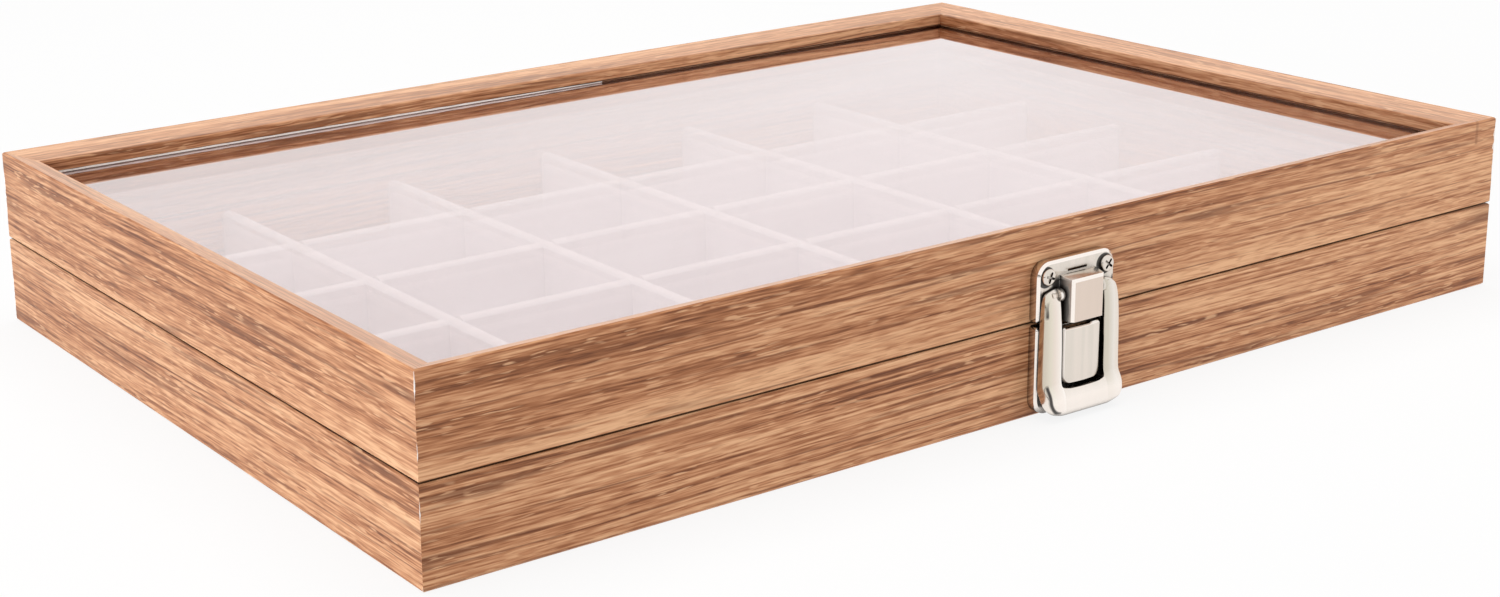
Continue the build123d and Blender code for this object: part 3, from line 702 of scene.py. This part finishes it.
def board_finish():
    """Pressed fibreboard of the underside."""
    finish = Finish("backing_board")
    place = finish.coordinates()
    fibres = finish.noise(place, [1.2 * MM, 0.5 * MM, 0.5 * MM], 1.1, 4.0)
    patches = finish.noise(place, [30 * MM] * 3, 6.2, 2.0)
    colour = finish.ramp(fibres * 0.6 + patches * 0.4, BOARD_TONES)
    return finish.coat(colour, 0.75 + fibres * 0.2, (fibres, 0.4, 0.1 * MM))


# ---- Stage: lengths in metres, powers in watts ----
# soft lamps: place, target, width and height, power, colour
LAMPS = {
    "top_softbox": ((0.0, 0.2, 1.6), (0, 0, 0), (1.6, 1.2), 18.5, (1.0, 0.97, 0.95)),
    "left_softbox": ((-1.3, -0.2, 0.25), (0, 0, 0), (1.0, 0.5), 9.8, (0.92, 0.96, 1.0)),
    "right_softbox": ((0.75, -0.8, 0.2), (0.2, 0, 0), (0.6, 0.4), 2.4, (1.0, 0.96, 0.9)),
}
# the dark card low at the left
CARD_PLACE = (-1.6, -1.0, 0.16)
CARD_TURN = math.radians(-58)
CARD_SIZE = (2.4, 0.24)
CARD_TONES = ((0.03, 0.02, 0.015, 1.0), (0.06, 0.045, 0.035, 1.0))
FLOOR_SIZE = 6.0
FLOOR_TONES = ((0.86, 0.86, 0.86, 1.0), (0.9, 0.9, 0.9, 1.0))
MOTTLE = 0.4  # size of the unevenness of the card and the floor


def seen_directly(finish):
    """1 for rays that show a surface itself, in view, in a mirror or through glass."""
    rays = finish.node("ShaderNodeLightPath", {}).socket.node.outputs
    camera, glossy, through = (
        Value(finish, rays[f"Is {kind} Ray"]) for kind in ("Camera", "Glossy", "Transmission")
    )
    return (camera + glossy + through).maths("MINIMUM", 1.0)


def add_lamp(name, place, target, size, power, colour):
    """A soft rectangular lamp that faces a target."""
    lamp = bpy.data.lights.new(name, "AREA")
    lamp.shape = "RECTANGLE"
    lamp.size, lamp.size_y = size
    lamp.energy = power
    lamp.color = colour
    holder = bpy.data.objects.new(name, lamp)
    holder.visible_glossy = False
    bpy.context.scene.collection.objects.link(holder)
    aim = (Vector(target) - Vector(place)).to_track_quat("-Z", "Y")
    holder.matrix_world = Matrix.Translation(place) @ aim.to_matrix().to_4x4()


def add_plane(name, size, location=(0, 0, 0), rotation=(0, 0, 0)):
    """A plane by its width and its height, with its place in its mesh."""
    bpy.ops.mesh.primitive_plane_add(size=1.0, location=location, rotation=rotation)
    plane = bpy.context.object
    plane.name = name
    plane.scale = (*size, 1.0)
    bpy.ops.object.transform_apply(location=True, rotation=True, scale=True)
    return plane


def mottled(finish, seed, tones):
    """A colour that drifts between two."""
    return finish.mix(finish.noise(finish.coordinates(), [MOTTLE] * 3, seed), *tones)


class SPECIMEN_OT_stage(Operator):
    """Lay a pale floor, light it softly and set the camera"""

    bl_idname = "specimen.stage"
    bl_label = "Stage"

    def execute(self, context):
        settings = context.scene.specimen_stage
        self.set_camera(context.scene)
        self.light_world(context.scene, settings)
        self.lay_floor(settings)
        for name, lamp in LAMPS.items():
            add_lamp(name, *lamp)
        self.stand_card()
        return {"FINISHED"}

    def stand_card(self):
        """A dark card, which only polished surfaces show."""
        card = add_plane("dark_card", CARD_SIZE, CARD_PLACE, (math.radians(90), 0, CARD_TURN))
        for kind in ("camera", "diffuse", "transmission", "shadow", "volume_scatter"):
            setattr(card, f"visible_{kind}", False)
        finish = Finish("dark_card")
        glow = finish.node("ShaderNodeEmission", {"Color": mottled(finish, 2.0, CARD_TONES)})
        card.data.materials.append(finish.surface(glow))

    def set_camera(self, scene):
        """The camera, from its solved place, direction and lens."""
        lens = bpy.data.cameras.new("camera")
        lens.sensor_width = SENSOR_WIDTH
        lens.lens = SENSOR_WIDTH * FOCAL_LENGTH / IMAGE_SIZE[0]
        lens.shift_x = (IMAGE_SIZE[0] / 2 - OPTICAL_CENTRE[0]) / IMAGE_SIZE[0]
        lens.shift_y = -(IMAGE_SIZE[1] / 2 - OPTICAL_CENTRE[1]) / IMAGE_SIZE[0]
        lens.clip_start = 0.01
        camera = bpy.data.objects.new("camera", lens)
        scene.collection.objects.link(camera)
        camera.matrix_world = Matrix.Translation(CAMERA_PLACE)
        for axis, turn in CAMERA_TURNS:
            camera.matrix_world @= Matrix.Rotation(math.radians(turn), 4, axis)
        scene.camera = camera
        scene.view_settings.view_transform = "Standard"

    def light_world(self, scene, settings):
        """A world that lights softly and shows white."""
        world = bpy.data.worlds.new("studio")
        scene.world = world
        finish = Finish("studio", world)
        seen = seen_directly(finish)
        strength = settings.fill + seen * (1.0 - settings.fill)
        sockets = {"Color": (1.0, 1.0, 1.0, 1.0), "Strength": strength}
        glow = finish.node("ShaderNodeBackground", sockets)
        finish.node("ShaderNodeOutputWorld", {"Surface": glow})

    def lay_floor(self, settings):
        """A white floor that keeps the box's shadow."""
        floor = add_plane("floor", (FLOOR_SIZE, FLOOR_SIZE))
        finish = Finish("floor")
        tone = mottled(finish, 1.0, FLOOR_TONES)
        matte = finish.node("ShaderNodeBsdfDiffuse", {"Color": tone})
        glow = finish.node("ShaderNodeEmission", {"Strength": 1.0})
        seen = seen_directly(finish)
        share = settings.bounce + seen * (settings.floor_glow - settings.bounce)
        mixed = finish.node("ShaderNodeMixShader", {0: share, 1: matte, 2: glow})
        floor.data.materials.append(finish.surface(mixed))


# ---- Boards, lining, glass and metal ----
class SPECIMEN_OT_boards(Operator):
    """Wrap the boards of the base and the lid in printed wood grain"""

    bl_idname = "specimen.boards"
    bl_label = "Boards"

    def execute(self, context):
        settings = context.scene.specimen_wrap
        for seed, (name, along, closeness) in enumerate(WRAPS, start=1):
            half, run = name.split("_")[:2]
            boards = [board for board in BOARDS[run] if board.startswith(half)]
            put_on(wrap_finish(name, along, float(seed), closeness, settings), *boards)
        return {"FINISHED"}


class SPECIMEN_OT_lining(Operator):
    """Flock the dividers and the floor lining"""

    bl_idname = "specimen.lining"
    bl_label = "Dividers and lining"

    def execute(self, context):
        put_on(flock_finish(context.scene.specimen_flock), "floor_lining", *DIVIDERS)
        return {"FINISHED"}


class SPECIMEN_OT_glass(Operator):
    """Make the lid's pane clear glass"""

    bl_idname = "specimen.glass"
    bl_label = "Glass"

    def execute(self, context):
        put_on(glass_finish(context.scene.specimen_glass), "glass_pane")
        return {"FINISHED"}


class SPECIMEN_OT_underside(Operator):
    """Make the bottom panel pressed fibreboard"""

    bl_idname = "specimen.underside"
    bl_label = "Underside"

    def execute(self, context):
        put_on(board_finish(), "bottom_panel")
        return {"FINISHED"}


# ---- Shaping ----
def start_box(name, low, high):
    """A box between two corners, in edit mode."""
    bpy.ops.mesh.primitive_cube_add(size=1.0, location=(low + high) / 2, scale=high - low)
    return start_shaping(name)


def start_cylinder(name, vertices, radius, length, middle, turn):
    """A cylinder, turned by angles in degrees, in edit mode."""
    bpy.ops.mesh.primitive_cylinder_add(
        vertices=vertices,
        radius=radius,
        depth=length,
        location=middle,
        rotation=[math.radians(angle) for angle in turn],
    )
    return start_shaping(name)


def start_copy(name, node):
    """A merged copy of a CAD node, in edit mode."""
    bpy.ops.object.select_all(action="DESELECT")
    piece = bpy.data.objects.new(name, NODES[node].data.copy())
    piece.data.materials.clear()
    bpy.context.scene.collection.objects.link(piece)
    piece.select_set(True)
    bpy.context.view_layer.objects.active = piece
    start_shaping(name)
    bpy.ops.mesh.select_all(action="SELECT")
    bpy.ops.mesh.remove_doubles(threshold=0.002 * MM)
    bpy.ops.mesh.dissolve_limited(angle_limit=math.radians(2))
    return piece


def start_shaping(name):
    """Names the active piece, puts its place in its mesh and opens it in edit mode."""
    piece = bpy.context.object
    piece.name = name
    piece.data.name = name
    bpy.ops.object.transform_apply(location=True, rotation=True, scale=True)
    bpy.ops.object.mode_set(mode="EDIT")
    bpy.ops.mesh.select_mode(type="EDGE")
    bpy.ops.mesh.select_all(action="DESELECT")
    return piece


def pick(piece, kind, test):
    """Selects the verts, edges or faces whose middle passes a test, and nothing else."""
    bpy.ops.mesh.select_mode(type={"verts": "VERT", "edges": "EDGE", "faces": "FACE"}[kind])
    bpy.ops.mesh.select_all(action="DESELECT")
    shape = bmesh.from_edit_mesh(piece.data)
    for element in getattr(shape, kind):
        if kind == "verts":
            middle, along = element.co, None
        elif kind == "edges":
            ends = [vert.co for vert in element.verts]
            middle, along = (ends[0] + ends[1]) / 2, (ends[1] - ends[0]).normalized()
        else:
            middle, along = element.calc_center_median(), element.normal
        if test(middle, along):
            element.select_set(True)
    shape.select_flush_mode()
    bmesh.update_edit_mesh(piece.data)


def shift(piece, test, across=0.0, out=0.0, up=0.0):
    """Moves the verts that pass a test."""
    pick(piece, "verts", test)
    bpy.ops.transform.translate(value=(across, -out, up))


def round_edges(piece, test, width, segments):
    """Rounds the edges that pass a test, and leaves edit mode."""
    pick(piece, "edges", test)
    bpy.ops.mesh.bevel(offset=width, segments=segments, affect="EDGES")
    bpy.ops.object.mode_set(mode="OBJECT")


def cut_across(axis, places):
    """Cuts the whole piece with planes across an axis."""
    normal = [float(i == axis) for i in range(3)]
    for place in places:
        point = [place * share for share in normal]
        bpy.ops.mesh.select_all(action="SELECT")
        bpy.ops.mesh.bisect(plane_co=point, plane_no=normal)


def join(pieces):
    """Joins pieces into the first one."""
    bpy.ops.object.select_all(action="DESELECT")
    for piece in pieces:
        piece.select_set(True)
    bpy.context.view_layer.objects.active = pieces[0]
    bpy.ops.object.join()
    return pieces[0]


def finish_piece(piece, rounding, replaced, body, material, rim=None):
    """Rounds the sharper edges, and hands the piece over.

    The rounded edges and the faces that slant take the rim material, a painted highlight, where
    there is one.
    """
    piece.data.materials.append(material)
    if rim:
        piece.data.materials.append(rim)
    bpy.ops.object.mode_set(mode="EDIT")
    bpy.ops.mesh.select_all(action="SELECT")
    bpy.ops.mesh.normals_make_consistent(inside=False)
    bpy.ops.object.mode_set(mode="OBJECT")
    if rounding:
        bevel = piece.modifiers.new("rounding", "BEVEL")
        bevel.width, bevel.segments, angle = rounding
        bevel.limit_method = "ANGLE"
        bevel.angle_limit = math.radians(angle)
        bevel.material = 1 if rim else -1
        bpy.ops.object.modifier_apply(modifier=bevel.name)
    if rim:
        for face in piece.data.polygons:
            if RIM_FACES[0] < -face.normal.y < RIM_FACES[1]:
                face.material_index = 1
    bpy.ops.object.shade_smooth_by_angle(angle=SMOOTH_ANGLE)
    if replaced:
        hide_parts(replaced)
    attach(piece, body)


# ---- Latch ----
def off_middle(point):
    """How far across from the latch's middle a point lies, to either side."""
    return abs(point.x - LATCH_MIDDLE)


def depth_of(point):
    """How far out of the boards a point lies."""
    return BOARD_FACE - point.y


def cut_beside(*reaches):
    """Cuts a piece at both sides of the latch's middle."""
    for reach in reaches:
        cut_across(0, [LATCH_MIDDLE - reach, LATCH_MIDDLE + reach])


def round_corner(piece, across, side, level, turn):
    """Draws a square corner of the outline in to a round one about a centre (across, level)."""
    columns = set()
    for vert in bmesh.from_edit_mesh(piece.data).verts:
        off_x, off_z = vert.co.x - across, vert.co.z - level
        if off_x * side > SAME and off_z * turn > SAME:
            columns.add((round(off_x, 6), round(off_z, 6)))
    for off_x, off_z in sorted(columns):
        growth = max(abs(off_x), abs(off_z)) / math.hypot(off_x, off_z) - 1

        def in_column(middle, _):
            off = (middle.x - across - off_x, middle.z - level - off_z)
            return max(abs(off[0]), abs(off[1])) < SAME

        shift(piece, in_column, across=off_x * growth, up=off_z * growth)


def shape_hasp():
    """The U-shaped hasp: two rounded legs on a bulging bar that flares at its foot."""
    half = HASP_HIGH.x - LATCH_MIDDLE
    low = Vector((HASP_LOW.x, BOARD_FACE - LEG_FRONT, HASP_LOW.z))
    high = Vector((HASP_HIGH.x, BOARD_FACE - LEG_BACK, WINDOW_LOW))
    hasp = start_box("snap_hasp", low, high)
    cut_beside(WINDOW_HALF)

    def under_leg(middle, normal):
        return normal.z > 0.9 and off_middle(middle) > WINDOW_HALF

    pick(hasp, "faces", under_leg)
    rise = HASP_HIGH.z - WINDOW_LOW
    bpy.ops.mesh.extrude_region_move(TRANSFORM_OT_translate={"value": (0, 0, rise)})
    cut_beside(half - EDGE_CUT, WINDOW_HALF + WINDOW_CUT)
    cut_across(1, [BOARD_FACE - LEG_BACK - BACK_CUT])
    levels = [HASP_LOW.z + up * MM for up, _, _ in HASP_ROWS[1:] if up != WINDOW_RISE]
    cut_across(2, [*levels, HASP_HIGH.z - LEG_SHOULDER])

    for up, front, back in HASP_ROWS:
        to_front = front * MM - LEG_FRONT
        to_back = back * MM - LEG_BACK
        for depth, out in (
            (LEG_FRONT, to_front), (LEG_BACK, to_back), (LEG_BACK + BACK_CUT, to_back)
        ):

            def in_row(middle, _):
                level = abs(middle.z - HASP_LOW.z - up * MM) < NEAR
                return level and abs(depth_of(middle) - depth) < NEAR

            shift(hasp, in_row, out=out)

    def top_front(middle, _):
        return depth_of(middle) > LEG_FRONT - NEAR and middle.z > HASP_HIGH.z - NEAR

    shift(hasp, top_front, out=-LEG_SETBACK)
    for side in (-1, 1):
        centre = LATCH_MIDDLE + side * (half - HASP_CORNER)
        round_corner(hasp, centre, side, HASP_LOW.z + HASP_CORNER, -1)
        round_corner(hasp, centre, side, HASP_HIGH.z - HASP_CORNER, 1)

    def window_edge(middle, _):
        side = abs(off_middle(middle) - WINDOW_HALF) < 2 * NEAR and middle.z > WINDOW_LOW
        foot = abs(middle.z - WINDOW_LOW) < 2 * NEAR and off_middle(middle) < WINDOW_HALF
        return depth_of(middle) > LEG_FRONT - 2 * NEAR and (side or foot)

    pick(hasp, "edges", window_edge)
    bpy.ops.transform.edge_crease(value=WINDOW_CREASE)
    bpy.ops.object.mode_set(mode="OBJECT")
    smoothing = hasp.modifiers.new("smoothing", "SUBSURF")
    smoothing.levels = 3
    smoothing.render_levels = 3
    bpy.ops.object.modifier_apply(modifier=smoothing.name)
    return hasp


def shape_plate(node):
    """A pressed plate, its front a little further out than on the CAD node that it copies."""
    plate = start_copy(f"pressed_{node}", node)

    def on_rim(middle, _):
        return CAD_RIM[0] < depth_of(middle) < CAD_RIM[1]

    def in_front(middle, _):
        return CAD_FRONT[0] < depth_of(middle) < CAD_FRONT[1]

    shift(plate, on_rim, out=RIM_RISE)
    shift(plate, in_front, out=PLATE_RISE)
    if node == "keeper_plate":
        for side in (-1, 1):

            def on_side(middle, _):
                beyond = (middle.x - LATCH_MIDDLE) * side > TAB_SIDE
                return beyond and depth_of(middle) > PLATE_FRONT + NEAR

            shift(plate, on_side, across=side * TAB_SPREAD)

        def on_foot(middle, _):
            return middle.z < TAB_FOOT and depth_of(middle) > PLATE_FRONT + NEAR

        shift(plate, on_foot, up=-TAB_SPREAD)
    bpy.ops.object.mode_set(mode="OBJECT")
    return plate


def shape_knuckle(side):
    """The round end that reaches from a leg to the bill, on one side."""
    low, high = corners("hasp_pin")
    middle = (low + high) / 2
    middle.x = LATCH_MIDDLE + side * (KNUCKLE_START + KNUCKLE_LENGTH / 2)
    knuckle = start_cylinder("knuckle", 32, KNUCKLE_RADIUS, KNUCKLE_LENGTH, middle, (0, 90, 0))

    def inner_end(point, along):
        return off_middle(point) < KNUCKLE_START + 2 * NEAR and abs(along.x) < 0.1

    round_edges(knuckle, inner_end, KNUCKLE_ROUNDING, 3)
    return knuckle


def shape_screw_head(name, middle, turn):
    """A domed head with a cross recess, its back on the plate."""
    head = start_cylinder(name, 40, HEAD_RADIUS, HEAD_RISE, middle, (90, 0, 0))
    front = middle.y - HEAD_RISE / 2

    def at_front(point, _):
        return abs(point.y - front) < SAME

    def along_depth(_, along):
        return abs(along.y) > 0.9

    round_edges(head, at_front, HEAD_DOME, 5)
    for quarter in (0, 90):
        bpy.ops.mesh.primitive_cube_add(
            size=1.0,
            location=(middle.x, front, middle.z),
            rotation=(0, math.radians(turn + quarter), 0),
            scale=BLADE,
        )
        blade = start_shaping("blade")
        round_edges(blade, along_depth, BLADE_ROUNDING, 2)
        bpy.context.view_layer.objects.active = head
        recess = head.modifiers.new("recess", "BOOLEAN")
        recess.operation = "DIFFERENCE"
        recess.object = blade
        bpy.ops.object.modifier_apply(modifier=recess.name)
        bpy.data.objects.remove(blade)
    return head


class SPECIMEN_OT_latch(Operator):
    """Shape the latch's plates and hasp, and plate them with nickel"""

    bl_idname = "specimen.latch"
    bl_label = "Latch"

    def execute(self, context):
        settings = context.scene.specimen_metal
        metal = metal_finish("brushed_nickel", settings, 1.0, gaps=True)
        # painted highlight: pale nickel for the rounded edges and slanting faces of the plates
        painted_highlight = metal_finish("burnished_nickel", settings, 0.2, worn=0.9)
        put_on(metal, *LATCH)
        for node, body in (("catch_plate", "lid"), ("keeper_plate", "case_base")):
            plate = shape_plate(node)
            finish_piece(plate, PLATE_ROUNDING, node, body, metal, painted_highlight)
        knuckles = [shape_knuckle(side) for side in (-1, 1)]
        hasp = join([shape_hasp(), *knuckles])
        finish_piece(hasp, None, "hasp", "latch_hasp", metal)
        return {"FINISHED"}


class SPECIMEN_OT_screws(Operator):
    """Shape the domed cross-recess screws of the latch's plates"""

    bl_idname = "specimen.screws"
    bl_label = "Latch screws"

    def execute(self, context):
        metal = metal_finish("screw_nickel", context.scene.specimen_metal, 0.2)
        for node, body in (("catch_screws", "lid"), ("keeper_screws", "case_base")):
            low, high = corners(node)
            radius = (high.z - low.z) / 2
            heads = []
            for across, turn in zip((low.x + radius, high.x - radius), HEAD_TURNS):
                out = BOARD_FACE - (PLATE_FRONT + HEAD_RISE / 2)
                middle = Vector((across, out, (low.z + high.z) / 2))
                heads.append(shape_screw_head(f"domed_{node}", middle, turn))
            head = join(heads)
            finish_piece(head, HEAD_ROUNDING, node, body, metal)
        return {"FINISHED"}


class SPECIMEN_OT_seal(Operator):
    """Lay the white seal that shows in the back rail's groove"""

    bl_idname = "specimen.seal"
    bl_label = "Glass seal"

    def execute(self, context):
        rail_end, inner_face, _ = corners("lid_back_rail")[0]
        start = rail_end + SEAL_START
        low = Vector((start, inner_face - SEAL_PROUD, GLASS_TOP + SEAL_LOW))
        high = Vector((SEAL_END, inner_face + SEAL_DEEP, GLASS_TOP + SEAL_HIGH))
        seal = start_box("glass_seal", low, high)
        places = [start + (SEAL_END - start) * i / SEAL_STEPS for i in range(SEAL_STEPS + 1)]
        cut_across(0, places[1:-1])
        for i, place in enumerate(places):
            taper = min(1.0, 0.25 + (SEAL_STEPS - i) / SEAL_TAPER)

            def top_at_place(middle, _):
                return middle.z > GLASS_TOP + SEAL_MIDDLE and abs(middle.x - place) < SAME

            wave = SEAL_WAVE * math.sin(i * 2.4) + SEAL_DROP * (taper - 1.0)
            shift(seal, top_at_place, up=wave)
        finish_piece(seal, SEAL_ROUNDING, None, "lid", seal_finish())
        return {"FINISHED"}


class SPECIMEN_OT_hardware(Operator):
    """Plate the screws and the hinges with nickel"""

    bl_idname = "specimen.hardware"
    bl_label = "Screws and hinges"

    def execute(self, context):
        metal = metal_finish("polished_nickel", context.scene.specimen_metal, 0.2)
        put_on(metal, *SCREWS, *HINGES)
        return {"FINISHED"}


class SPECIMEN_PT_panel(Panel):
    """Lists the steps that finish the box"""

    bl_idname = "SPECIMEN_PT_panel"
    bl_label = "Specimen Box"
    bl_space_type = "VIEW_3D"
    bl_region_type = "UI"
    bl_category = "Specimen Box"

    def draw(self, context):
        for step in STEPS:
            self.layout.operator(step.bl_idname)
        for name in SETTINGS:
            box = self.layout.box()
            settings = getattr(context.scene, name)
            for key in settings.__annotations__:
                box.prop(settings, key)


SETTINGS = {
    "specimen_wrap": WrapSettings,
    "specimen_flock": FlockSettings,
    "specimen_glass": GlassSettings,
    "specimen_metal": MetalSettings,
    "specimen_stage": StageSettings,
}
STEPS = [
    SPECIMEN_OT_stage,
    SPECIMEN_OT_boards,
    SPECIMEN_OT_lining,
    SPECIMEN_OT_glass,
    SPECIMEN_OT_underside,
    SPECIMEN_OT_latch,
    SPECIMEN_OT_hardware,
    SPECIMEN_OT_screws,
    SPECIMEN_OT_seal,
]
CLASSES = [*SETTINGS.values(), *STEPS, SPECIMEN_PT_panel]


def register():
    """Adds the classes and their settings."""
    for cls in CLASSES:
        bpy.utils.register_class(cls)
    for name, group in SETTINGS.items():
        setattr(bpy.types.Scene, name, PointerProperty(type=group))


def unregister():
    """Takes the settings and the classes away."""
    for name in SETTINGS:
        delattr(bpy.types.Scene, name)
    for cls in reversed(CLASSES):
        bpy.utils.unregister_class(cls)


def main():
    """Finishes the box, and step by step."""
    register()
    bpy.ops.specimen.stage()
    bpy.ops.specimen.boards()
    bpy.ops.specimen.lining()
    bpy.ops.specimen.glass()
    bpy.ops.specimen.underside()
    bpy.ops.specimen.latch()
    bpy.ops.specimen.hardware()
    bpy.ops.specimen.screws()
    bpy.ops.specimen.seal()


if __name__ == "__main__":
    main()
